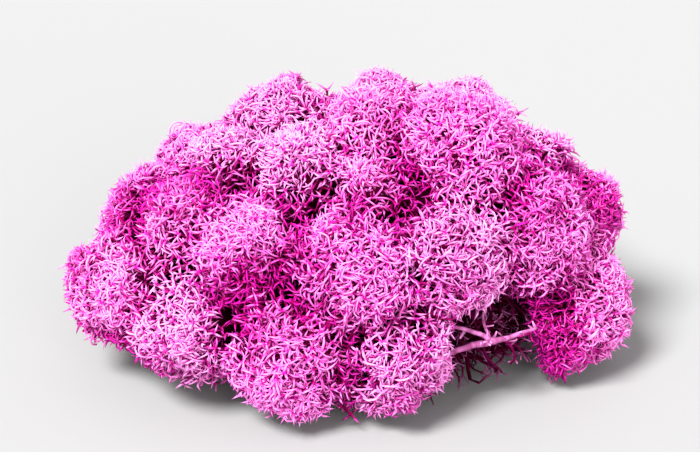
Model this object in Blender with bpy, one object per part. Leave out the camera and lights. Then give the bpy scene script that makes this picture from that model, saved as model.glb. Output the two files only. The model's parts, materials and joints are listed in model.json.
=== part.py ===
"""A clump of reindeer moss: rounded heads of forked branchlets on a mat of old stems.

Each head is one body. It has a smaller core, a foot that goes down to the mat, and
branchlets that stand out of the core and fork into three tips. Neighbouring heads press
against each other along flat faces. Lengths are in metres. +Z is up, -Y is the front, and
the origin is on the flat spot that the clump rests on, straight below the mat's middle.
"""

import math
import random

import bmesh
import bpy
from mathutils import Vector, noise

MM = 0.001
SEED = 11

# The share of its square that one point of an even triangular pattern takes up
TRIANGULAR_SHARE = math.sqrt(3) / 2

# The gap between bodies that touch, and the least height of all but the flat spot
GAP = 0.3 * MM
CLEARANCE = 1.6 * MM

# The mound that the middles of the heads lie on
MOUND_HALF_WIDTH = 54 * MM
MOUND_HALF_DEPTH = 39 * MM
MOUND_RISE = 39 * MM
MOUND_BULGE = 0.3
MOUND_BULGE_FINENESS = 1.1
MOUND_MIDDLE = Vector((0, 0, 17 * MM))

# The heads
HEAD_COUNT = 32
HEAD_JITTER = 0.3
HEAD_RADIUS_LEAST = 13 * MM
HEAD_RADIUS_USUAL = 19 * MM
HEAD_RADIUS_MOST = 22 * MM
HEAD_OVERLAP = 0.6
HEAD_RELIEF = 4 * MM
HEAD_SWELL = 0.3
HEAD_SWELL_FINENESS = 1.9
HEAD_SWELL_VARIETY = 500
CORE_SHARE = 0.67
FOOT_HALF_WIDTH = 5.5 * MM
FOOT_LEAST = 7 * MM
SETTLING_STEPS = 120
SETTLING_PACE = 0.3
NEIGHBOUR_SPAN = 1.4

# The branchlets of a head: how far apart, the shortest, and how near the foot they come
BRANCHLET_SPACING = 9.9 * MM
BRANCHLET_JITTER = 0.25
BRANCHLET_LEAST = 2.6 * MM
BARE_ROUND_FOOT = 0.3
NECK_HEIGHT = 0.55
NECK_NARROWING = 0.7
TIP_SPREAD = (0.7, 0.95)
TIP_REACH = (0.95, 1.04)

# The mat of old stems, flatter and a little dented below its middle
MAT_HALF_WIDTH = 47 * MM
MAT_HALF_DEPTH = 32 * MM
MAT_RISE = 31 * MM
MAT_DROP = 18 * MM
MAT_MIDDLE = Vector((0, 0, 16 * MM))
MAT_POINTS = 200
MAT_JITTER = 0.2
MAT_DENT = 0.1
DENTED_BELOW = -0.25
STUB_LENGTH = (5.6 * MM, 8 * MM)
STUB_LEAST = 2.5 * MM

# A hollow at the front with no head in it, where bare stalks stand out of the mat
HOLLOW = Vector((34 * MM, -40 * MM, 18 * MM))
HOLLOW_RADIUS = 11 * MM
STALK_COUNT = 5
STALK_HALF_THICKNESS = 0.9 * MM
STALK_JOINTS = 4
STALK_STEP = 4.5 * MM
STALK_BEND = 0.25
STALK_TAPER = 0.12
STALK_LIFT = Vector((0, 0, 0.3))

# Colours from 0 to 255, as on the screen
HEAD_COLOURS = {"hot_pink": (222, 84, 190), "orchid": (226, 106, 194), "mauve": (214, 124, 190)}
OLD_STEM_COLOUR = (104, 18, 72)


def linear(colour):
    """A screen colour as the linear values that a material takes."""
    shares = [channel / 255 for channel in colour]
    return [s / 12.92 if s < 0.04045 else ((s + 0.055) / 1.055) ** 2.4 for s in shares]


def moss_material(name, colour):
    material = bpy.data.materials.new(name)
    material.use_nodes = True
    shader = material.node_tree.nodes["Principled BSDF"]
    shader.inputs["Base Color"].default_value = (*linear(colour), 1)
    shader.inputs["Roughness"].default_value = 0.9
    shader.inputs["Metallic"].default_value = 0
    material.diffuse_color = (*linear(colour), 1)
    return material


def spread_directions(count, rng, jitter):
    """Directions spread evenly over a sphere along a spiral, then moved a little at random."""
    turn = math.pi * (3 - math.sqrt(5))
    found = []
    for i in range(count):
        z = 1 - 2 * (i + 0.5) / count
        ring = math.sqrt(1 - z * z)
        place = Vector((ring * math.cos(turn * i), ring * math.sin(turn * i), z))
        nudge = Vector([rng.gauss(0, 1) for _ in range(3)])
        found.append((place + nudge * (jitter / math.sqrt(count))).normalized())
    return found


def triangulated_sphere(directions):
    """A closed mesh of triangles through the directions, each at distance 1."""
    bm = bmesh.new()
    for direction in directions:
        bm.verts.new(direction)
    bmesh.ops.convex_hull(bm, input=bm.verts[:])
    bmesh.ops.recalc_face_normals(bm, faces=bm.faces[:])
    return bm


def mat_reach(direction):
    """The radius of the mat about its own middle."""
    rise = MAT_RISE if direction.z > 0 else MAT_DROP
    across = Vector((direction.x / MAT_HALF_WIDTH, direction.y / MAT_HALF_DEPTH, direction.z / rise))
    return 1 / across.length


def mat_normal(point):
    """The outward normal of the mat's surface at a point given from its middle."""
    rise = MAT_RISE if point.z > 0 else MAT_DROP
    slope = Vector((point.x / MAT_HALF_WIDTH**2, point.y / MAT_HALF_DEPTH**2, point.z / rise**2))
    return slope.normalized()


class Head:
    """One head: its middle, its radius, and the flat faces that bound it."""

    def __init__(self, centre, radius):
        self.centre = centre
        self.radius = radius
        self.foot = Vector((0, 0, -1))
        self.bounds = []

    def bound(self, normal, distance):
        """Keep the head within this distance of its middle along the normal."""
        self.bounds.append((normal, distance - GAP / 2))

    def limit(self, direction):
        """How far the head may reach in this direction."""
        reach = [d / n.dot(direction) for n, d in self.bounds if n.dot(direction) > 1e-6]
        return min(reach, default=math.inf)

    def outer(self, direction):
        """Where the tips end, before any flat face cuts them."""
        swell = noise.noise(direction * HEAD_SWELL_FINENESS + self.centre * HEAD_SWELL_VARIETY)
        return self.radius * (1 + HEAD_SWELL * swell)

    def core(self, direction):
        """The surface that the branchlets stand out of, with its foot."""
        along = direction.dot(self.foot)
        beside = math.sqrt(max(1 - along * along, 1e-9))
        foot = FOOT_HALF_WIDTH / beside if along > 0 else 0
        return min(max(CORE_SHARE * self.outer(direction), foot), self.limit(direction))


def on_mound(point):
    """The point moved onto the mound that the heads' middles lie on."""
    axes = (MOUND_HALF_WIDTH, MOUND_HALF_DEPTH, MOUND_RISE)
    share = Vector([(p - m) / a for p, m, a in zip(point, MOUND_MIDDLE, axes)])
    share.z = max(share.z, 0)
    share.normalize()
    share *= 1 + MOUND_BULGE * noise.noise(share * MOUND_BULGE_FINENESS + Vector((SEED, 0, 0)))
    return MOUND_MIDDLE + Vector([s * a for s, a in zip(share, axes)])


def settled_heads(rng):
    """The heads, spread over the mound until each has room for its own size."""
    heads = []
    for direction in spread_directions(2 * HEAD_COUNT, rng, HEAD_JITTER)[:HEAD_COUNT]:
        radius = rng.triangular(HEAD_RADIUS_LEAST, HEAD_RADIUS_MOST, HEAD_RADIUS_USUAL)
        heads.append(Head(on_mound(MOUND_MIDDLE + direction * MOUND_RISE), radius))
    for _ in range(SETTLING_STEPS):
        for head in heads:
            near = [(other.centre, HEAD_OVERLAP * (head.radius + other.radius)) for other in heads]
            near.append((HOLLOW, HOLLOW_RADIUS + head.radius))
            push = Vector()
            for place, wanted in near:
                apart = head.centre - place
                if 0 < apart.length < wanted:
                    push += apart.normalized() * (wanted - apart.length)
            head.centre = on_mound(head.centre + push * SETTLING_PACE)
    for head in heads:
        outward = (head.centre - MOUND_MIDDLE).normalized()
        head.centre += outward * rng.uniform(-HEAD_RELIEF, HEAD_RELIEF)
        way = (head.centre - MAT_MIDDLE).normalized()
        least = mat_reach(way) + FOOT_LEAST
        head.centre = MAT_MIDDLE + way * max((head.centre - MAT_MIDDLE).length, least)
    return heads


def press_together(heads):
    """Give each head its flat faces: to its neighbours, to the mat, and above the ground."""
    for head in heads:
        for other in heads:
            apart = other.centre - head.centre
            if other is not head and apart.length < NEIGHBOUR_SPAN * (head.radius + other.radius):
                to_face = apart.length**2 + head.radius**2 - other.radius**2
                head.bound(apart.normalized(), to_face / (2 * apart.length))
        way = (head.centre - MAT_MIDDLE).normalized()
        seat = way * mat_reach(way)
        inward = -mat_normal(seat)
        to_seat = MAT_MIDDLE + seat - head.centre
        head.foot = to_seat.normalized()
        head.bound(inward, inward.dot(to_seat))
        head.bound(Vector((0, 0, -1)), head.centre.z - CLEARANCE)


def tip_directions(face, rng):
    """The middle direction of a face, and one towards each of its edges."""
    corners = [vert.co.normalized() for vert in face.verts]
    middle = sum(corners, Vector()).normalized()
    halfway = [(a + b) / 2 for a, b in zip(corners, corners[1:] + corners[:1])]
    return middle, [middle.lerp(h, rng.uniform(*TIP_SPREAD)).normalized() for h in halfway]


def draw_branchlet(bm, face, base, tips):
    """Draw a face out to a narrow neck, and fork the neck into a tip over each of its edges."""
    corners = [vert.co.normalized() for vert in face.verts]
    middle = sum(corners, Vector()).normalized()
    neck = base + NECK_HEIGHT * (min(tip.length for tip in tips) - base)
    drawn = bmesh.ops.extrude_discrete_faces(bm, faces=[face])["faces"][0]
    for vert, corner in zip(drawn.verts, corners):
        vert.co = corner.lerp(middle, NECK_NARROWING).normalized() * neck
    sides = [set(loop.edge.verts) for loop in drawn.loops]
    for fan in bmesh.ops.poke(bm, faces=[drawn])["faces"]:
        side = next(set(edge.verts) for edge in fan.edges if set(edge.verts) in sides)
        bmesh.ops.poke(bm, faces=[fan])["verts"][0].co = tips[sides.index(side)]


def head_mesh(head, rng):
    """The mesh of one head, about its own middle."""
    count = round(4 * math.pi * head.radius**2 / (TRIANGULAR_SHARE * BRANCHLET_SPACING**2))
    bm = triangulated_sphere(spread_directions(count, rng, BRANCHLET_JITTER))
    for vert in bm.verts:
        vert.co *= head.core(vert.co.normalized())
    for face in bm.faces[:]:
        middle, aims = tip_directions(face, rng)
        reaches = [min(head.outer(a) * rng.uniform(*TIP_REACH), head.limit(a)) for a in aims]
        base = head.core(middle)
        if min(reaches) - base > BRANCHLET_LEAST and middle.dot(head.foot) < BARE_ROUND_FOOT:
            draw_branchlet(bm, face, base, [a * r for a, r in zip(aims, reaches)])
    return bm


def room(place, heads):
    """How far a place given from the mat's middle lies from the nearest head and the ground."""
    least = (MAT_MIDDLE + place).z - CLEARANCE
    for head in heads:
        way = MAT_MIDDLE + place - head.centre
        furthest = TIP_REACH[1] * head.outer(way.normalized())
        reach = min(furthest, head.limit(way.normalized()))
        least = min(least, way.length - reach)
    return least


def open_reach(direction, heads, longest):
    """How far from the mat's middle a stem may end before it meets a head or the ground."""
    surface = mat_reach(direction)
    reach = surface
    while reach < surface + longest and room(direction * (reach + MM), heads) > GAP:
        reach += MM / 2
    return reach


def draw_stalk(bm, face, heads, rng):
    """Draw a face out into a thin bent stalk, bare and broken off at its end."""
    centre = face.calc_center_median()
    arms = [(vert.co - centre).normalized() * STALK_HALF_THICKNESS for vert in face.verts]
    aim = (HOLLOW - MAT_MIDDLE - centre).normalized() + STALK_LIFT
    for joint in range(STALK_JOINTS):
        if room(centre, heads) < 2 * STALK_HALF_THICKNESS:
            break
        face = bmesh.ops.extrude_discrete_faces(bm, faces=[face])["faces"][0]
        for vert, arm in zip(face.verts, arms):
            vert.co = centre + arm * (1 - STALK_TAPER * joint)
        bend = Vector([rng.uniform(-STALK_BEND, STALK_BEND) for _ in range(3)])
        centre += (aim + bend).normalized() * STALK_STEP


def mat_mesh(heads, rng):
    """The mesh of the mat about its own middle, with its stub stems and bare stalks."""
    bm = triangulated_sphere(spread_directions(MAT_POINTS, rng, MAT_JITTER))
    for vert in bm.verts:
        dent = rng.random() * MAT_DENT if vert.co.z < DENTED_BELOW else 0
        vert.co *= mat_reach(vert.co.normalized()) * (1 - dent)
    everything = bm.verts[:] + bm.edges[:] + bm.faces[:]
    cut = bmesh.ops.bisect_plane(
        bm, geom=everything, plane_co=-MAT_MIDDLE, plane_no=(0, 0, -1), clear_outer=True
    )
    rim = [item for item in cut["geom_cut"] if isinstance(item, bmesh.types.BMEdge)]
    raised = [f for f in bm.faces if min(vert.co.z for vert in f.verts) > CLEARANCE - MAT_MIDDLE.z]
    to_hollow = (HOLLOW - MAT_MIDDLE).normalized()
    raised.sort(key=lambda face: to_hollow.angle(face.calc_center_median()))
    stalks = raised[: 2 * STALK_COUNT : 2]
    for face in raised:
        if face in stalks:
            draw_stalk(bm, face, heads, rng)
            continue
        middle, aims = tip_directions(face, rng)
        reaches = [open_reach(a, heads, rng.uniform(*STUB_LENGTH)) for a in aims]
        if min(reaches) - mat_reach(middle) > STUB_LEAST:
            draw_branchlet(bm, face, mat_reach(middle), [a * r for a, r in zip(aims, reaches)])
    bmesh.ops.contextual_create(bm, geom=rim)
    bmesh.ops.recalc_face_normals(bm, faces=bm.faces[:])
    return bm


def add_node(name, bm, place, material):
    """Make one closed body of the mesh, with its own material."""
    bmesh.ops.triangulate(bm, faces=bm.faces[:])
    mesh = bpy.data.meshes.new(name)
    bm.to_mesh(mesh)
    bm.free()
    mesh.materials.append(material)
    node = bpy.data.objects.new(name, mesh)
    node.location = place
    bpy.context.scene.collection.objects.link(node)


def main():
    for old in list(bpy.data.objects):
        bpy.data.objects.remove(old)
    rng = random.Random(SEED)
    colours = (sorted(HEAD_COLOURS) * HEAD_COUNT)[:HEAD_COUNT]
    random.Random(SEED).shuffle(colours)
    heads = settled_heads(rng)
    press_together(heads)
    old_stems = moss_material("old_stems", OLD_STEM_COLOUR)
    add_node("stem_mat", mat_mesh(heads, rng), MAT_MIDDLE, old_stems)
    for number, (head, colour) in enumerate(zip(heads, colours), 1):
        material = moss_material(f"{colour}_{number:02d}", HEAD_COLOURS[colour])
        add_node(f"moss_head_{number:02d}", head_mesh(head, rng), head.centre, material)


main()
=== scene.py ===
"""A clump of dyed reindeer moss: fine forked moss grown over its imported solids, on a pale stage."""

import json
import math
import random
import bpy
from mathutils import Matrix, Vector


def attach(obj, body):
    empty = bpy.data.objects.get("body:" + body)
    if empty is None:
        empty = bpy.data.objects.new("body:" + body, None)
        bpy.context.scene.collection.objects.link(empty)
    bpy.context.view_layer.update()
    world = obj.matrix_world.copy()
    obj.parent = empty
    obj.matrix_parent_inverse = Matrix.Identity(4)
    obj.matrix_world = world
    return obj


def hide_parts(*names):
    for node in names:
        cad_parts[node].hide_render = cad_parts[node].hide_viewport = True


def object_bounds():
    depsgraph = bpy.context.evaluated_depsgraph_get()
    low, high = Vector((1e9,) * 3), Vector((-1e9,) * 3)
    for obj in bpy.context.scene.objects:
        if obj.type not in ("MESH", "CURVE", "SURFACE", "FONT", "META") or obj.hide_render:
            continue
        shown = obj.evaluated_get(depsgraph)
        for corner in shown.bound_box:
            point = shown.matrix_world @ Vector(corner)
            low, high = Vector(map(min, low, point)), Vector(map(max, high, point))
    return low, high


bl_info = {
    "name": "Reindeer moss clump",
    "version": (1, 0, 0),
    "blender": (4, 5, 0),
    "location": "3D View > Sidebar > Moss",
    "description": "Grows fine reindeer moss over the clump's solids and sets it on a pale stage",
    "category": "Object",
}

import bmesh
import bpy
import numpy as np
from bpy.props import FloatProperty, FloatVectorProperty, PointerProperty
from mathutils import Matrix, Quaternion, Vector, bvhtree, kdtree, noise

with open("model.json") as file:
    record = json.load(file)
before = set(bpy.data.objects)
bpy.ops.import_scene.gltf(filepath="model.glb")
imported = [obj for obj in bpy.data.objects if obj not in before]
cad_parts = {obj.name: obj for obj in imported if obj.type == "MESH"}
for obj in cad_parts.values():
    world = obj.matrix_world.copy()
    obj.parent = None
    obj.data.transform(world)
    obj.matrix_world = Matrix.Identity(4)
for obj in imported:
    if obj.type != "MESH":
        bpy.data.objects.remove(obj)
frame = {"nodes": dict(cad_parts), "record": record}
CAD_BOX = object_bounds()

MM = 0.001
SEED = 7
UP = Vector((0, 0, 1))

# The name of each piece's map. Across it goes how far along its branch a corner lies, and up it
# goes how much of the sunlit colouring the growth takes rather than the shaded one: painted light
# and painted shade, mixed with tone that differs at random. Each corner also steps a little in a
# direction that no corner of the same face takes, so that every face has some width there.
MAP_NAME = "OFBake"
MAP_STEP = 0.008
MAP_TURN = 2.4
BODY_TONE_AND_LIGHT = 0.45  # how far the dark bodies below the growth take the sunlit colouring, not the shaded one
PALEST_TONE_AND_LIGHT = 0.97

# The sprigs, with sizes as shares of a sprig's height
SPRIG_KINDS = 14
SPRIG_SIZES = (0.85, 1.12)
STEM_TAPER = 0.85
FORK_HEIGHT = 0.42
FORK_LEANS = (0.7, 1.05)  # of the forks from the stem, and of the tips from their fork
FORK_REACHES = (0.4, 0.2)  # of the forks, and of the tips up to where they taper
POINT_REACH = 0.22
POINT_BEND = 0.4
FORK_UNEVEN = 0.3
CLOSED_FORK_SHARE = 0.14  # how many branches of a fork never grew
# Darker at the foot: partly the moss's own darker base, partly painted shade deep in the growth.
BRANCH_SHADES = (0.06, 0.32, 0.6, 0.9, 1.0)  # from the foot to the points

# The skin that the sprigs reach up to: how fine it is, how far it fills the valleys, and how many
# times it is smoothed
SKIN_STEP = 1.6 * MM
VALLEY_FILL = 4 * MM
SKIN_SMOOTHING = 3

# Where sprigs stand. From each place some looks go out, leaning away from the skin, and each that
# meets no moss within its length makes the place more open.
TRIES_PER_SPRIG = 6
LOOKS = 10
LOOK_LENGTH = 30 * MM
LOOK_START = 0.6 * MM
LOOK_LEAN = 1.02
OPEN_LEAST = 0.3
HOLE_DEPTH = 2.15 * MM  # a place further than this from every solid stays a dark hole
DOWNWARD = -0.75  # a place that faces further down than this stays bare

# How deep the sprigs sit and how lit they are painted, by tufts and by the wider patches, with
# painted shade in the valleys, in sheltered places and on the tufts that sink deeper
TUFT_FINENESS = 150
TUFT_DEPTH = 3.2 * MM
TUFT_CONTRAST = 1.15
PATCH_FINENESS = 38
PATCH_CONTRAST = 1.4
MIDDLE_TONE_AND_LIGHT = 0.84
SHELTER_SHADE = 1.25
VALLEY_SHADE = 0.9
VALLEY_SINK = 0.55
HEAD_VARIETY = 0.35
SPRIG_VARIETY = 0.3
SINK_VARIETY = 1.1 * MM
LEAN = 0.18

# The middle of a head, below its sprigs, near black as painted shade deep in the head: how much of
# the way out to the head's hull it goes, how much further it goes towards the mat, its shades, and
# how deep and fine its dents are
HEART_DEPTH = 0.58
HEART_FOOT = 0.35
HEART_SHADES = (0.0, 0.07)
HEART_DENT = 0.1
HEART_DENT_FINENESS = 5

# The sprigs that stand below the others, painted darker as painted shade
UNDERGROWTH_SHARE = 0.42
UNDERGROWTH_DEPTH = 3.2 * MM
UNDERGROWTH_SHADE = 1.1

# The curls: short arcs that lie over the sprigs with both ends tucked in, and, lying on top, are
# painted a little more sunlit
CURL_KINDS = 10
CURL_SHARE = 0.55
CURL_SINK = (0.2 * MM, 1.2 * MM)
CURL_HALF_LENGTH = 2.5 * MM
CURL_SAG = 1.7 * MM
CURL_BOW = 0.5
CURL_THICKNESS = 0.56 * MM
CURL_TAPER = 0.7
CURL_SHADES = (0.7, 0.9, 1.0, 0.9, 0.7)
CURL_PAINTED_LIGHT = 0.1

# The body of the stem mat, with the sizes of its solid; it is dark, partly in the old stems' own
# colour and partly with painted shade
MAT_MIDDLE = Vector((0, 0, 16 * MM))
MAT_HALF_WIDTH = 47 * MM
MAT_HALF_DEPTH = 32 * MM
MAT_RISE = 31 * MM
MAT_DROP = 18 * MM
MAT_DENT = 0.1
MAT_DENT_FINENESS = 9
MAT_SHADES = (0.03, 0.12)
SMOOTH_BELOW = -0.5  # the underside that faces further down than this has no dents

# The old stems on the mat, most of them in the hollow at the front
HOLLOW = Vector((34 * MM, -40 * MM, 14 * MM))
HOLLOW_SHARE = 0.6
HOLLOW_PULL = 1.8  # how strongly those are drawn to it
OLD_STEM_KINDS = 8
OLD_STEM_COUNT = 1000
OLD_STEM_HIGHEST = 0.45  # none stands where the mat faces further up than this
OLD_STEM_ROOT = 0.95  # share of the way out through the mat where each starts
OLD_STEM_STEP = 1.6 * MM
OLD_STEM_BEND = 0.42
OLD_STEM_THICKNESS = 0.9 * MM
OLD_STEM_TAPER = 0.88
OLD_STEM_FORK_LEAN = 0.8
OLD_STEM_SHADES = (0.1, 0.22, 0.3, 0.4, 0.5, 0.6, 0.7, 0.85)  # from the foot to the fork's ends
OLD_STEM_LEAN = 0.8
OLD_STEM_TONES_AND_LIGHT = (0.2, 0.9)
OLD_STEM_SIZES = (0.7, 1.0)
LONG_STEM_COUNT = 260
LONG_STEM_SIZES = (1.1, 1.7)
CLEARANCE = 0.3 * MM  # nothing that is planted comes nearer to the ground

# The bare stalks in the hollow at the front: how thick each starts and ends, its shade, and its
# route in mm. The first four stand on the mat, deep in the hollow, and are painted dark as painted
# shade; the next five are one pale forked stalk, and the last is a thin one behind it.
BARE_STALKS = (
    (1.8, 1.2, 0.35,
     ((23.5, -26.6, 19.7), (25.0, -28.5, 20.3), (26.3, -29.8, 21.4))),
    (1.8, 1.2, 0.35,
     ((28.3, -24.5, 18.8), (29.5, -26.2, 19.0), (30.4, -28.3, 19.7))),
    (1.8, 1.2, 0.35,
     ((31.1, -22.2, 13.4), (32.3, -26.0, 15.5), (32.1, -30.3, 16.8))),
    (1.8, 1.2, 0.35,
     ((27.5, -21.6, 9.6), (27.7, -25.3, 12.1), (28.2, -28.8, 14.9), (28.8, -32.5, 17.3))),
    (2.0, 0.6, 0.9,
     ((29.5, -38.3, 19.0), (33.0, -37.9, 19.6), (37.5, -36.4, 20.3), (42.0, -33.6, 20.4))),
    (2.0, 1.4, 0.85,
     ((31.5, -38.0, 19.2), (28.0, -38.6, 18.6), (24.5, -39.5, 18.2), (19.0, -41.0, 17.0))),
    (1.4, 0.9, 0.95,
     ((30.8, -38.1, 19.3), (28.0, -38.8, 21.2), (24.5, -39.5, 23.0), (18.0, -42.5, 26.0))),
    (0.9, 0.6, 0.9,
     ((30.0, -38.2, 20.2), (28.8, -37.6, 22.6), (28.2, -37.0, 25.6), (29.4, -35.5, 28.0))),
    (0.8, 0.5, 0.7,
     ((33.5, -37.8, 19.4), (35.6, -38.3, 17.4), (36.4, -38.0, 14.6), (35.4, -37.0, 12.0))),
    (0.8, 0.5, 0.6,
     ((24.0, -31.0, 27.0), (27.5, -35.0, 20.0), (29.5, -35.0, 13.0), (34.0, -34.0, 8.0))),
)
STALK_SIDES = 6
STALK_STEPS = 5
STALK_WOBBLE = 0.2  # share of its thickness
STALK_SMOOTHING = 2
STALK_DARKEST = 0.8  # share of its shade that a stalk keeps at its darkest
STALK_TONE_AND_LIGHT = 0.9
STALK_BRANCHLETS = 7
BRANCHLET_LEAN = 0.4
BRANCHLET_ROOT = 0.2  # how far its root is set in from the face that it grows on
BRANCHLET_REACHES = (0.8 * MM, 2.4 * MM)
BRANCHLET_THICKNESS = 0.45 * MM
BRANCHLET_PALER = 1.2

# The dyed moss: how much red, green and blue of a head's colour its deep growth, darker as painted
# shade, and its middle growth keep, how near its palest tips come to the pale colour, a painted
# highlight on their own paler colour, how rough it is from its foot to its tips, and how glossy
DEEP_SHARES = (0.29, 0.004, 0.125)
STRONG_SHARES = (0.76, 0.08, 0.595)
PALE_SHARE = 0.75
ROUGHNESS = (0.95, 0.7)
GLOSS = 0.03

# The stage: the floor's reach and the lights' distance in widths of the clump, where each light
# stands and how wide it looks from there, and how far below the clump's middle the camera aims,
# as a share of its height
FLOOR_REACH = 20
LIGHT_DISTANCE = 3
KEY_LIGHT = ((-0.5, -0.55, 1.0), math.radians(22))
FRONT_LIGHT = ((0.45, -1.0, 0.35), math.radians(40))
AIM_DROP = 0.08

# Which slot of the record each solid takes its finish from, and the colour of each slot
SLOT_OF = {part["node"]: part["material_slot"] for part in frame["record"]["subparts"]}
FINISH = {entry["slot"]: tuple(entry["base_color"]) for entry in frame["record"]["materials"]}


class MossSettings(bpy.types.PropertyGroup):
    """The sizes and colours of the moss."""

    sprig_spacing: FloatProperty(
        name="Sprig spacing",
        description="Distance between neighbouring sprigs on a head",
        default=1.66 * MM,
        min=1 * MM,
        unit="LENGTH",
    )
    sprig_height: FloatProperty(
        name="Sprig height",
        description="Height of a sprig from its foot to its tips",
        default=8.0 * MM,
        min=2 * MM,
        unit="LENGTH",
    )
    stem_thickness: FloatProperty(
        name="Stem thickness",
        description="Thickness of a sprig's stem",
        default=1.1 * MM,
        min=0.1 * MM,
        unit="LENGTH",
    )
    tip_thickness: FloatProperty(
        name="Tip thickness",
        description="Thickness of a sprig's tips where they start to taper to a point",
        default=0.64 * MM,
        min=0.05 * MM,
        unit="LENGTH",
    )
    hot_pink: FloatVectorProperty(
        name="Hot pink",
        description="Colour of the hot pink heads",
        subtype="COLOR",
        default=FINISH["hot_pink"],
        min=0,
        max=1,
    )
    orchid: FloatVectorProperty(
        name="Orchid",
        description="Colour of the orchid pink heads",
        subtype="COLOR",
        default=FINISH["orchid"],
        min=0,
        max=1,
    )
    mauve: FloatVectorProperty(
        name="Mauve",
        description="Colour of the mauve heads",
        subtype="COLOR",
        default=FINISH["mauve"],
        min=0,
        max=1,
    )
    old_stems: FloatVectorProperty(
        name="Old stems",
        description="Colour of the old stems of the mat",
        subtype="COLOR",
        default=FINISH["old_stems"],
        min=0,
        max=1,
    )
    # The hollows' colour is painted shade: the near black deep between the sprigs, at their feet and
    # on the dark bodies below them.
    hollow: FloatVectorProperty(
        name="Hollows",
        description="Colour of the dark moss deep between the sprigs",
        subtype="COLOR",
        default=(0.045, 0.0, 0.01),
        min=0,
        max=1,
    )
    # Only the sunlit colouring reaches the pale colour, at the tips: their own paler colour with a
    # painted highlight on it.
    pale: FloatVectorProperty(
        name="Pale tips",
        description="Colour that the lightest tips fade to",
        subtype="COLOR",
        default=(1.0, 0.34, 0.8),
        min=0,
        max=1,
    )


class StageSettings(bpy.types.PropertyGroup):
    """The floor, the lights and the camera."""

    floor_colour: FloatVectorProperty(
        name="Floor",
        description="Colour of the floor, which these lights make as bright as the room behind it",
        subtype="COLOR",
        default=(0.2688, 0.2688, 0.2688),
        min=0,
        max=1,
    )
    key_strength: FloatProperty(
        name="Key light",
        description="Strength of the soft light above, in front and to the left",
        default=8.6,
        min=0,
    )
    front_strength: FloatProperty(
        name="Front light",
        description="Strength of the weak soft light from the front and the right",
        default=2.6,
        min=0,
    )
    room_strength: FloatProperty(
        name="Room light",
        description="Strength of the even light from all round",
        default=0.9,
        min=0,
    )
    elevation: FloatProperty(
        name="Camera elevation",
        description="Angle of the camera above the horizon",
        default=math.radians(25),
        subtype="ANGLE",
    )
    lens: FloatProperty(
        name="Lens",
        description="Focal length of the camera",
        default=85,
        min=20,
        unit="CAMERA",
    )
    share_of_width: FloatProperty(
        name="Share of width",
        description="How much of the picture's width the clump takes up",
        default=0.82,
        min=0.1,
        max=1,
        subtype="FACTOR",
    )


def new_growth():
    """An empty bmesh with a map, whose corners carry a shade."""
    bm = bmesh.new()
    bm.verts.layers.float.new("shade")
    bm.loops.layers.uv.new(MAP_NAME)
    return bm


def mark(bm, verts, shade):
    """Give corners one shade."""
    of_shade = bm.verts.layers.float["shade"]
    for vert in verts:
        vert[of_shade] = shade


def mark_body(bm, least, most, rng):
    """Give the corners of a dark body mixed shades, and lay it on the map."""
    for vert in bm.verts:
        mark(bm, [vert], rng.uniform(least, most))
    spread_map(bm, BODY_TONE_AND_LIGHT)


def draw_out(bm, face, end, way, thickness, shade):
    """Draw the end of a branch out to a new end that is square to its way, and return it."""
    drawn = bmesh.ops.extrude_discrete_faces(bm, faces=[face])["faces"][0]
    lean = drawn.verts[0].co - drawn.calc_center_median()
    arm = (lean - lean.project(way)).normalized() * (thickness / 2)
    for corner, vert in enumerate(drawn.verts):
        vert.co = end + Quaternion(way, corner * math.tau / len(drawn.verts)) @ arm
    mark(bm, drawn.verts, shade)
    return drawn


def stem(bm, height, foot, top, shades, sides=3):
    """Make a closed stem that stands at the origin, and return its top face."""
    made = bmesh.ops.create_cone(
        bm,
        cap_ends=True,
        segments=sides,
        radius1=foot / 2,
        radius2=top / 2,
        depth=height,
        matrix=Matrix.Translation(UP * (height / 2)),
    )
    low = [vert for vert in made["verts"] if vert.co.z < height / 2]
    high = [vert for vert in made["verts"] if vert.co.z > height / 2]
    mark(bm, low, shades[0])
    mark(bm, high, shades[1])
    return next(face for face in bm.faces if set(face.verts) == set(high))


def fork(bm, face, way, reach, lean, thickness, shade, rng):
    """Fork the end of a branch in three, and return each new end with its way."""
    centre = face.calc_center_median()
    before = face.verts[0][bm.verts.layers.float["shade"]]
    poked = bmesh.ops.poke(bm, faces=[face])
    mark(bm, poked["verts"], before)
    ends = []
    for fan in poked["faces"]:
        if rng.random() < CLOSED_FORK_SHARE:
            continue
        side = fan.calc_center_median() - centre
        side = (side - side.project(way)).normalized()
        angle = lean * rng.uniform(1 - FORK_UNEVEN, 1 + FORK_UNEVEN)
        new_way = way * math.cos(angle) + side * math.sin(angle)
        new_way.rotate(Quaternion(way, rng.uniform(-FORK_UNEVEN, FORK_UNEVEN)))
        end = centre + new_way * reach * rng.uniform(1 - FORK_UNEVEN, 1 + FORK_UNEVEN)
        ends.append((draw_out(bm, fan, end, new_way, thickness, shade), new_way))
    return ends


def point(bm, face, way, reach, shade, rng):
    """Draw the end of a branch out to a bent point."""
    bend = Vector([rng.gauss(0, POINT_BEND) for _ in range(3)])
    end = face.calc_center_median() + (way + bend).normalized() * reach
    tip = bmesh.ops.poke(bm, faces=[face])["verts"]
    tip[0].co = end
    mark(bm, tip, shade)


def spread_map(bm, tone_and_light=0):
    """Lay every face on the piece's map, each corner at the shade that it carries."""
    of_shade = bm.verts.layers.float["shade"]
    uv = bm.loops.layers.uv[MAP_NAME]
    steps = {}
    for vert in bm.verts:
        taken = {steps.get(other) for face in vert.link_faces for other in face.verts}
        steps[vert] = next(number for number in range(len(bm.verts)) if number not in taken)
        turn = MAP_TURN * steps[vert]
        across = min(max(vert[of_shade], MAP_STEP), 1 - MAP_STEP) + MAP_STEP * math.cos(turn)
        for loop in vert.link_loops:
            loop[uv].uv = across, tone_and_light + MAP_STEP * (1 + math.sin(turn))


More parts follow.
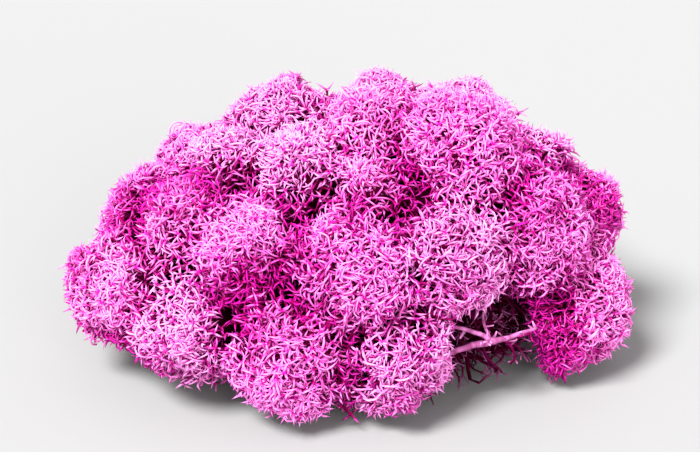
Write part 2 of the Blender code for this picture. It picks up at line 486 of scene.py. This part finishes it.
def sprig_mesh(name, settings, rng):
    """A small sprig at the origin: a stem that forks in three, and each fork again, to points."""
    bm = new_growth()
    high = settings.sprig_height
    thick = settings.stem_thickness
    thin = settings.tip_thickness
    middle = (thick + thin) / 2
    foot = stem(bm, FORK_HEIGHT * high, thick, thick * STEM_TAPER, BRANCH_SHADES[:2])
    reach, tip_reach = (share * high for share in FORK_REACHES)
    forks = fork(bm, foot, UP, reach, FORK_LEANS[0], middle, BRANCH_SHADES[2], rng)
    for face, way in forks:
        tips = fork(bm, face, way, tip_reach, FORK_LEANS[1], thin, BRANCH_SHADES[3], rng)
        for tip, tip_way in tips:
            point(bm, tip, tip_way, POINT_REACH * high, BRANCH_SHADES[4], rng)
    spread_map(bm)
    top = max(vert.co.z for vert in bm.verts)
    bmesh.ops.scale(bm, vec=(1, 1, high / top), verts=bm.verts)
    return finished_mesh(name, bm)


def curl_mesh(name, rng):
    """An arc that lies along X with its middle at the origin and both its ends lower."""
    bm = new_growth()
    half, sag = CURL_HALF_LENGTH, CURL_SAG
    bow = rng.uniform(-CURL_BOW, CURL_BOW) * half
    points = [Vector((x * half, bow * (1 - x * x), -sag * x * x)) for x in (-1, -0.5, 0, 0.5, 1)]
    tube(bm, points, CURL_THICKNESS, CURL_THICKNESS * CURL_TAPER, CURL_SHADES, 3)
    spread_map(bm)
    return finished_mesh(name, bm)


def tube(bm, points, thick, thin, shades, sides):
    """Draw a closed stem along points, changing in thickness from its start to its end."""
    ways = [(b - a).normalized() for a, b in zip(points, points[1:])]
    first = points[1] - points[0]
    face = stem(bm, first.length / 4, thick, thick, shades[:1] * 2, sides)
    turn = ways[0].to_track_quat("Z", "Y").to_matrix().to_4x4()
    corners = face.verts[:] + [v for e in face.edges for f in e.link_faces for v in f.verts]
    bmesh.ops.transform(
        bm, matrix=Matrix.Translation(points[0]) @ turn, verts=list(set(corners))
    )
    for number in range(1, len(points)):
        way = (ways[number - 1] + ways[min(number, len(ways) - 1)]).normalized()
        width = thick + (thin - thick) * number / len(ways)
        face = draw_out(bm, face, points[number], way, width, shades[number])


def finished_mesh(name, bm):
    """Turn a bmesh into a smoothly shaded mesh, and free it."""
    for layer in bm.verts.layers.float.values():
        bm.verts.layers.float.remove(layer)
    mesh = bpy.data.meshes.new(name)
    bm.to_mesh(mesh)
    bm.free()
    mesh.shade_smooth()
    return mesh


def plant(bm, growth, place, way, turn, size, tone_and_light):
    """Add a copy of a growth to a piece, pointing along a way, unless it would reach the ground."""
    lean = UP.rotation_difference(way) @ Quaternion(UP, turn)
    copy = growth.copy()
    copy.transform(Matrix.LocRotScale(place, lean, Vector((size, size, size))))
    places = np.empty(len(copy.vertices) * 3, np.float32)
    copy.vertices.foreach_get("co", places)
    if places[2::3].min() < CLEARANCE:
        bpy.data.meshes.remove(copy)
        return
    corners = np.empty(len(copy.loops) * 2, np.float32)
    copy.uv_layers[MAP_NAME].data.foreach_get("uv", corners)
    corners[1::2] += tone_and_light
    copy.uv_layers[MAP_NAME].data.foreach_set("uv", corners)
    bm.from_mesh(copy)
    bpy.data.meshes.remove(copy)


def grow(bm, kinds, seat, height, sink, tone_and_light, rng):
    """Plant a growth at a seat, leaning a little, with its top sunk below the skin."""
    size = rng.uniform(*SPRIG_SIZES)
    nudge = Vector([rng.gauss(0, LEAN) for _ in range(3)])
    way = (seat.way + nudge).normalized()
    sink += seat.sink + rng.uniform(0, SINK_VARIETY)
    place = seat.place - seat.way * sink - way * height * size
    tone_and_light = seat.tone_and_light + tone_and_light + rng.uniform(-SPRIG_VARIETY, SPRIG_VARIETY)
    tone_and_light = min(max(tone_and_light, 0), PALEST_TONE_AND_LIGHT)
    plant(bm, rng.choice(kinds), place, way, rng.uniform(0, math.tau), size, tone_and_light)


def merged_copy(node):
    """A bmesh of a solid's own vertices, each once."""
    bm = bmesh.new()
    bm.from_mesh(node.data)
    bmesh.ops.remove_doubles(bm, verts=bm.verts, dist=0.001 * MM)
    return bm


def hull_of(node):
    """The hull stretched round a solid, as a closed bmesh."""
    bm = merged_copy(node)
    bmesh.ops.delete(bm, geom=bm.faces[:], context="FACES_ONLY")
    bmesh.ops.delete(bm, geom=bm.edges[:], context="EDGES_FACES")
    hull = bmesh.ops.convex_hull(bm, input=bm.verts[:])
    inside = {item for item in hull["geom_interior"] if isinstance(item, bmesh.types.BMVert)}
    bmesh.ops.delete(bm, geom=list(inside), context="VERTS")
    bmesh.ops.recalc_face_normals(bm, faces=bm.faces[:])
    bmesh.ops.triangulate(bm, faces=bm.faces[:])
    return bm


def joined(hulls):
    """All the hulls in one bmesh, and for each of its faces the name of the solid."""
    bm = bmesh.new()
    names = []
    for name, one in hulls.items():
        part = finished_mesh("part", one.copy())
        bm.from_mesh(part)
        bpy.data.meshes.remove(part)
        names += [name] * (len(bm.faces) - len(names))
    return bm, names


def skin_over(hulls):
    """One smooth skin over all the solids, with the valleys between the heads partly filled."""
    skin = bpy.data.objects.new("skin", finished_mesh("skin", joined(hulls)[0]))
    bpy.context.scene.collection.objects.link(skin)
    for push in (VALLEY_FILL, -VALLEY_FILL):
        even = skin.modifiers.new("even", "REMESH")
        even.mode = "VOXEL"
        even.voxel_size = SKIN_STEP
        swell = skin.modifiers.new("swell", "DISPLACE")
        swell.mid_level = 0
        swell.strength = push
    soften = skin.modifiers.new("soften", "SMOOTH")
    soften.iterations = SKIN_SMOOTHING
    shaped = skin.evaluated_get(bpy.context.evaluated_depsgraph_get())
    bm = bmesh.new()
    bm.from_mesh(shaped.to_mesh())
    shaped.to_mesh_clear()
    old = skin.data
    bpy.data.objects.remove(skin)
    bpy.data.meshes.remove(old)
    bmesh.ops.triangulate(bm, faces=bm.faces[:])
    return bm


class Seat:
    """A place on the skin where moss grows, with how far it sinks there and how lit it is painted."""

    def __init__(self, node, place, way, view, depth):
        tuft = noise.noise(place * TUFT_FINENESS)
        patch = noise.noise(place * PATCH_FINENESS)
        self.node = node
        self.place = place
        self.way = way
        self.sink = TUFT_DEPTH * (0.5 - 0.5 * tuft) + depth * VALLEY_SINK
        self.tone_and_light = MIDDLE_TONE_AND_LIGHT + PATCH_CONTRAST * patch + TUFT_CONTRAST * tuft
        # Painted shade: the deeper a place lies in a valley and the more sheltered it is, the more of
        # the shaded colouring it takes.
        self.tone_and_light -= VALLEY_SHADE * depth / HOLE_DEPTH + SHELTER_SHADE * (1 - view)


def nearest_solid(hulls):
    """A function that names the solid nearest to a place, and says how far away it is."""
    bm, names = joined(hulls)
    tree = bvhtree.BVHTree.FromBMesh(bm)
    bm.free()

    def look_up(place):
        _, _, face, distance = tree.find_nearest(place)
        return names[face], distance

    return look_up


def openness(place, way, around, rng):
    """The share of looks outwards from a place that meet no moss."""
    clear = 0
    for _ in range(LOOKS):
        look = Vector([rng.gauss(0, 1) for _ in range(3)]).normalized()
        look = (look + way * LOOK_LEAN).normalized()
        clear += around.ray_cast(place + way * LOOK_START, look, LOOK_LENGTH)[0] is None
    return clear / LOOKS


def seats_on(skin, hulls, spacing, rng):
    """Seats spread evenly over the open skin."""
    around = bvhtree.BVHTree.FromBMesh(skin)
    solid_at = nearest_solid(hulls)
    found = []
    for face in skin.faces:
        wanted = face.calc_area() / spacing**2 * TRIES_PER_SPRIG
        corners = [vert.co for vert in face.verts]
        sides = corners[1] - corners[0], corners[2] - corners[0]
        for _ in range(int(wanted) + (rng.random() < wanted % 1)):
            across, along = rng.random(), rng.random()
            if across + along > 1:
                across, along = 1 - across, 1 - along
            found.append((corners[0] + sides[0] * across + sides[1] * along, face.normal.copy()))
    rng.shuffle(found)
    tree = kdtree.KDTree(len(found))
    for number, (place, _) in enumerate(found):
        tree.insert(place, number)
    tree.balance()
    kept = []
    taken = np.zeros(len(found), bool)
    for number, (place, way) in enumerate(found):
        if taken[number] or way.z < DOWNWARD:
            continue
        view = openness(place, way, around, rng)
        node, depth = solid_at(place)
        if view < OPEN_LEAST or depth > HOLE_DEPTH:
            continue
        for _, other, _ in tree.find_range(place, spacing):
            taken[other] = True
        kept.append(Seat(node, place, way, view, depth))
    return kept


def heart(bm, hull, rng):
    """Add a head's middle, near black as painted shade, which closes the view between its sprigs."""
    tree = bvhtree.BVHTree.FromBMesh(hull)
    middle = sum((vert.co for vert in hull.verts), Vector()) / len(hull.verts)
    ball = bmesh.ops.create_icosphere(bm, subdivisions=3, radius=1)
    shift = Vector([rng.random() for _ in range(3)])
    inward = (MAT_MIDDLE - middle).normalized()
    for vert in ball["verts"]:
        way = vert.co.normalized()
        reach = tree.ray_cast(middle, way)[3]
        foot = HEART_FOOT * max(way.dot(inward), 0)
        dent = HEART_DENT * (noise.noise(way * HEART_DENT_FINENESS + shift) - rng.random())
        vert.co = middle + way * reach * (HEART_DEPTH + foot + dent)
    mark_body(bm, *HEART_SHADES, rng)


def mat_reach(way):
    """The radius of the mat's solid about its own middle."""
    rise = MAT_RISE if way.z > 0 else MAT_DROP
    return 1 / Vector((way.x / MAT_HALF_WIDTH, way.y / MAT_HALF_DEPTH, way.z / rise)).length


def old_stem_mesh(name, rng):
    """An old stem that stands at the origin, bent this way and that, and forked at its end."""
    bm = new_growth()
    way, end = UP.copy(), UP * OLD_STEM_STEP
    thick = OLD_STEM_THICKNESS
    face = stem(bm, OLD_STEM_STEP, thick, thick, OLD_STEM_SHADES[:2])
    for shade in OLD_STEM_SHADES[2:-1]:
        way = (way + Vector([rng.gauss(0, OLD_STEM_BEND) for _ in range(3)])).normalized()
        end = end + way * OLD_STEM_STEP
        thick *= OLD_STEM_TAPER
        face = draw_out(bm, face, end, way, thick, shade)
    fork(bm, face, way, OLD_STEM_STEP, OLD_STEM_FORK_LEAN, thick / 2, OLD_STEM_SHADES[-1], rng)
    spread_map(bm)
    return finished_mesh(name, bm)


def mat_body(bm, rng):
    """Add the mat's dark body, partly painted shade, dented, and cut flat where the clump rests."""
    ball = bmesh.ops.create_icosphere(bm, subdivisions=4, radius=1)
    for vert in ball["verts"]:
        way = vert.co.normalized()
        dent = MAT_DENT * abs(noise.noise(way * MAT_DENT_FINENESS)) + MAT_DENT / 2 * rng.random()
        vert.co = MAT_MIDDLE + way * mat_reach(way) * (1 - dent * (way.z > SMOOTH_BELOW))
    everything = bm.verts[:] + bm.edges[:] + bm.faces[:]
    cut = bmesh.ops.bisect_plane(
        bm, geom=everything, plane_co=(0, 0, 0), plane_no=(0, 0, -1), clear_outer=True
    )
    rim = [item for item in cut["geom_cut"] if isinstance(item, bmesh.types.BMEdge)]
    flat = bmesh.ops.contextual_create(bm, geom=rim)["faces"]
    bmesh.ops.triangulate(bm, faces=flat)
    mark_body(bm, *MAT_SHADES, rng)


def bare_stalk_mesh(name, thick, thin, shade, route, rng):
    """A bare stalk along its route in mm, with short broken branchlets on its sides."""
    bm = new_growth()
    corners = [Vector(point) * MM for point in route]
    points = [corners[0]]
    for a, b in zip(corners, corners[1:]):
        for step in range(1, STALK_STEPS + 1):
            wobble = Vector([rng.gauss(0, STALK_WOBBLE * thin * MM) for _ in range(3)])
            points.append(a.lerp(b, step / STALK_STEPS) + wobble)
    for _ in range(STALK_SMOOTHING):
        inner = [(a + 2 * b + c) / 4 for a, b, c in zip(points, points[1:], points[2:])]
        points = [points[0], *inner, points[-1]]
    shades = [shade * rng.uniform(STALK_DARKEST, 1) for _ in points]
    tube(bm, points, thick * MM, thin * MM, shades, STALK_SIDES)
    bm.normal_update()
    sides = [face for face in bm.faces if len(face.verts) == 4]
    for face in rng.sample(sides, STALK_BRANCHLETS):
        nudge = Vector([rng.gauss(0, BRANCHLET_LEAN) for _ in range(3)])
        way = (face.normal + nudge).normalized()
        bmesh.ops.inset_individual(bm, faces=[face], thickness=thin * BRANCHLET_ROOT * MM)
        end = face.calc_center_median() + way * rng.uniform(*BRANCHLET_REACHES)
        draw_out(bm, face, end, way, BRANCHLET_THICKNESS, min(shade * BRANCHLET_PALER, 1))
    spread_map(bm)
    return finished_mesh(name, bm)


def ramp(nodes, stops):
    """A colour ramp with these stops."""
    node = nodes.new("ShaderNodeValToRGB")
    elements = node.color_ramp.elements
    while len(elements) > 1:
        elements.remove(elements[-1])
    for number, (place, colour) in enumerate(stops):
        element = elements[0] if number == 0 else elements.new(place)
        element.position = place
        element.color = (*colour, 1)
    return node


def blend(one, other, share):
    """A colour between two colours."""
    return [a + (b - a) * share for a, b in zip(one, other)]


def moss_material(name, colour, settings):
    """Dyed moss, shaded and sunlit: near black deep down, strong midway, tips as pale as its map
    says.
    """
    material = bpy.data.materials.new(name)
    material.use_nodes = True
    nodes = material.node_tree.nodes
    links = material.node_tree.links
    shader = nodes["Principled BSDF"]
    hollow, pale = settings.hollow, blend(colour, settings.pale, PALE_SHARE)
    deep = [c * share for c, share in zip(colour, DEEP_SHARES)]
    strong = [c * share for c, share in zip(colour, STRONG_SHARES)]
    # The shaded and the sunlit colouring are lit and shaded copies of one moss, mixed by the map's
    # height: painted light and painted shade. Near black deep down is painted shade, and the pale at
    # the sunlit tips is a painted highlight on their own paler colour.
    shaded = ramp(
        nodes,
        (
            (0.0, hollow),
            (0.4, blend(hollow, deep, 0.8)),
            (0.62, deep),
            (0.85, blend(deep, strong, 0.45)),
            (1.0, strong),
        ),
    )
    sunlit = ramp(
        nodes,
        (
            (0.0, hollow),
            (0.43, deep),
            (0.66, strong),
            (0.87, blend(colour, pale, 0.5)),
            (1.0, pale),
        ),
    )
    where = nodes.new("ShaderNodeUVMap")
    where.uv_map = MAP_NAME
    parts = nodes.new("ShaderNodeSeparateXYZ")
    mix = nodes.new("ShaderNodeMix")
    mix.data_type = "RGBA"
    rough = nodes.new("ShaderNodeMapRange")
    rough.inputs["To Min"].default_value, rough.inputs["To Max"].default_value = ROUGHNESS
    links.new(where.outputs["UV"], parts.inputs[0])
    links.new(parts.outputs["X"], shaded.inputs[0])
    links.new(parts.outputs["X"], sunlit.inputs[0])
    links.new(parts.outputs["Y"], mix.inputs["Factor"])
    links.new(shaded.outputs["Color"], mix.inputs["A"])
    links.new(sunlit.outputs["Color"], mix.inputs["B"])
    links.new(mix.outputs["Result"], shader.inputs["Base Color"])
    links.new(parts.outputs["X"], rough.inputs["Value"])
    links.new(rough.outputs["Result"], shader.inputs["Roughness"])
    shader.inputs["Specular IOR Level"].default_value = GLOSS
    material.diffuse_color = (*colour, 1)
    return material


def add_piece(name, bm, material, node):
    """Make a piece of the bmesh, and let it stand for a solid."""
    mesh = finished_mesh(name, bm)
    mesh.materials.append(material)
    piece = bpy.data.objects.new(name, mesh)
    bpy.context.scene.collection.objects.link(piece)
    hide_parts(node)
    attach(piece, "root")
    return piece


class MOSS_OT_grow_heads(bpy.types.Operator):
    """Grow fine forked sprigs over every head"""

    bl_idname = "moss.grow_heads"
    bl_label = "Grow the heads"

    def execute(self, context):
        settings = context.scene.moss
        rng = random.Random(SEED)
        sprigs = [sprig_mesh(f"sprig_{n}", settings, rng) for n in range(SPRIG_KINDS)]
        heads = sorted(name for name in frame["nodes"] if name.startswith("moss_head"))
        hulls = {name: hull_of(frame["nodes"][name]) for name in heads}
        hulls["stem_mat"] = merged_copy(frame["nodes"]["stem_mat"])
        skin = skin_over(hulls)
        seats = seats_on(skin, hulls, settings.sprig_spacing, rng)
        skin.free()
        pieces = {name: new_growth() for name in heads}
        for name in heads:
            heart(pieces[name], hulls[name], rng)
        head_tint = {name: rng.uniform(-HEAD_VARIETY, HEAD_VARIETY) for name in heads}
        curls = [curl_mesh(f"curl_{n}", rng) for n in range(CURL_KINDS)]
        high = settings.sprig_height
        for seat in seats:
            if seat.node not in pieces:
                continue
            piece, tone_and_light = pieces[seat.node], head_tint[seat.node]
            grow(piece, sprigs, seat, high, 0, tone_and_light, rng)
            # The undergrowth below the sprigs takes painted shade.
            if rng.random() < UNDERGROWTH_SHARE:
                grow(piece, sprigs, seat, high, UNDERGROWTH_DEPTH, tone_and_light - UNDERGROWTH_SHADE, rng)
            # Curls lie on top, so they take a little more of the sunlit colouring: painted light.
            if rng.random() < CURL_SHARE:
                grow(piece, curls, seat, 0, rng.uniform(*CURL_SINK), tone_and_light + CURL_PAINTED_LIGHT, rng)
        materials = {
            slot: moss_material(f"{slot}_moss", getattr(settings, slot), settings)
            for slot in ("hot_pink", "orchid", "mauve")
        }
        for name in heads:
            add_piece(f"{name}_sprigs", pieces[name], materials[SLOT_OF[name]], name)
        for bm in hulls.values():
            bm.free()
        for copied in sprigs + curls:
            bpy.data.meshes.remove(copied)
        return {"FINISHED"}


class MOSS_OT_grow_mat(bpy.types.Operator):
    """Grow the tangle of old stems below the heads"""

    bl_idname = "moss.grow_mat"
    bl_label = "Grow the stem mat"

    def execute(self, context):
        settings = context.scene.moss
        rng = random.Random(SEED)
        bm = new_growth()
        mat_body(bm, rng)
        kinds = [old_stem_mesh(f"old_stem_{n}", rng) for n in range(OLD_STEM_KINDS)]
        for number in range(OLD_STEM_COUNT):
            out = Vector([rng.gauss(0, 1) for _ in range(3)]).normalized()
            if number < HOLLOW_SHARE * OLD_STEM_COUNT:
                out = (out + (HOLLOW - MAT_MIDDLE).normalized() * HOLLOW_PULL).normalized()
            if out.z > OLD_STEM_HIGHEST:
                continue
            foot = MAT_MIDDLE + out * mat_reach(out) * OLD_STEM_ROOT
            side = Vector([rng.gauss(0, 1) for _ in range(3)])
            way = (out + OLD_STEM_LEAN * side).normalized()
            size = rng.uniform(*(LONG_STEM_SIZES if number < LONG_STEM_COUNT else OLD_STEM_SIZES))
            turn = rng.uniform(0, math.tau)
            plant(bm, rng.choice(kinds), foot, way, turn, size, rng.uniform(*OLD_STEM_TONES_AND_LIGHT))
        for number, (thick, thin, shade, route) in enumerate(BARE_STALKS):
            stalk = bare_stalk_mesh(f"bare_stalk_{number}", thick, thin, shade, route, rng)
            plant(bm, stalk, Vector(), UP, 0, 1, STALK_TONE_AND_LIGHT)
            bpy.data.meshes.remove(stalk)
        material = moss_material("old_stem_moss", settings.old_stems, settings)
        add_piece("stem_mat_stems", bm, material, "stem_mat")
        for kind in kinds:
            bpy.data.meshes.remove(kind)
        return {"FINISHED"}


class MOSS_OT_set_stage(bpy.types.Operator):
    """Set up the pale floor, the soft lights and the camera"""

    bl_idname = "moss.set_stage"
    bl_label = "Set the stage"

    def execute(self, context):
        settings = context.scene.moss_stage
        low, high = CAD_BOX
        middle = (low + high) / 2
        width = high.x - low.x
        bm = bmesh.new()
        bmesh.ops.create_grid(bm, x_segments=1, y_segments=1, size=FLOOR_REACH * width)
        floor = bpy.data.objects.new("floor", finished_mesh("floor", bm))
        material = bpy.data.materials.new("pale_floor")
        material.use_nodes = True
        shader = material.node_tree.nodes["Principled BSDF"]
        shader.inputs["Base Color"].default_value = (*settings.floor_colour, 1)
        shader.inputs["Roughness"].default_value = 0.9
        shader.inputs["Specular IOR Level"].default_value = 0.0
        floor.data.materials.append(material)
        context.scene.collection.objects.link(floor)

        lights = (
            ("key_light", *KEY_LIGHT, settings.key_strength),
            ("front_light", *FRONT_LIGHT, settings.front_strength),
        )
        for name, way, softness, strength in lights:
            lamp = bpy.data.lights.new(name, "SUN")
            lamp.angle = softness
            lamp.energy = strength
            light = bpy.data.objects.new(name, lamp)
            light.location = middle + Vector(way).normalized() * LIGHT_DISTANCE * width
            light.rotation_euler = Vector(way).to_track_quat("Z", "Y").to_euler()
            context.scene.collection.objects.link(light)

        world = bpy.data.worlds.new("studio")
        world.use_nodes = True
        background = world.node_tree.nodes["Background"]
        background.inputs["Color"].default_value = (1, 1, 1, 1)
        background.inputs["Strength"].default_value = settings.room_strength
        context.scene.world = world

        lens = bpy.data.cameras.new("camera")
        lens.lens = settings.lens
        camera = bpy.data.objects.new("camera", lens)
        context.scene.collection.objects.link(camera)
        back = Vector((0, -math.cos(settings.elevation), math.sin(settings.elevation)))
        distance = width / settings.share_of_width * settings.lens / lens.sensor_width
        camera.location = middle - UP * AIM_DROP * (high.z - low.z) + back * distance
        camera.rotation_euler = (-back).to_track_quat("-Z", "Y").to_euler()
        context.scene.camera = camera
        context.scene.view_settings.view_transform = "Standard"
        return {"FINISHED"}


class MOSS_PT_panel(bpy.types.Panel):
    """The moss clump's sizes, colours and steps."""

    bl_label = "Reindeer moss clump"
    bl_idname = "MOSS_PT_panel"
    bl_space_type = "VIEW_3D"
    bl_region_type = "UI"
    bl_category = "Moss"

    def draw(self, context):
        layout = self.layout
        for settings in (context.scene.moss, context.scene.moss_stage):
            box = layout.box()
            for name in settings.bl_rna.properties.keys():
                if name not in ("rna_type", "name"):
                    box.prop(settings, name)
        for operator in OPERATORS:
            layout.operator(operator.bl_idname)


OPERATORS = (MOSS_OT_grow_heads, MOSS_OT_grow_mat, MOSS_OT_set_stage)
CLASSES = (MossSettings, StageSettings, *OPERATORS, MOSS_PT_panel)


def register():
    for cls in CLASSES:
        bpy.utils.register_class(cls)
    bpy.types.Scene.moss = PointerProperty(type=MossSettings)
    bpy.types.Scene.moss_stage = PointerProperty(type=StageSettings)


def unregister():
    del bpy.types.Scene.moss_stage
    del bpy.types.Scene.moss
    for cls in reversed(CLASSES):
        bpy.utils.unregister_class(cls)


def main():
    register()
    bpy.ops.moss.grow_heads()
    bpy.ops.moss.grow_mat()
    bpy.ops.moss.set_stage()


if __name__ == "__main__":
    main()
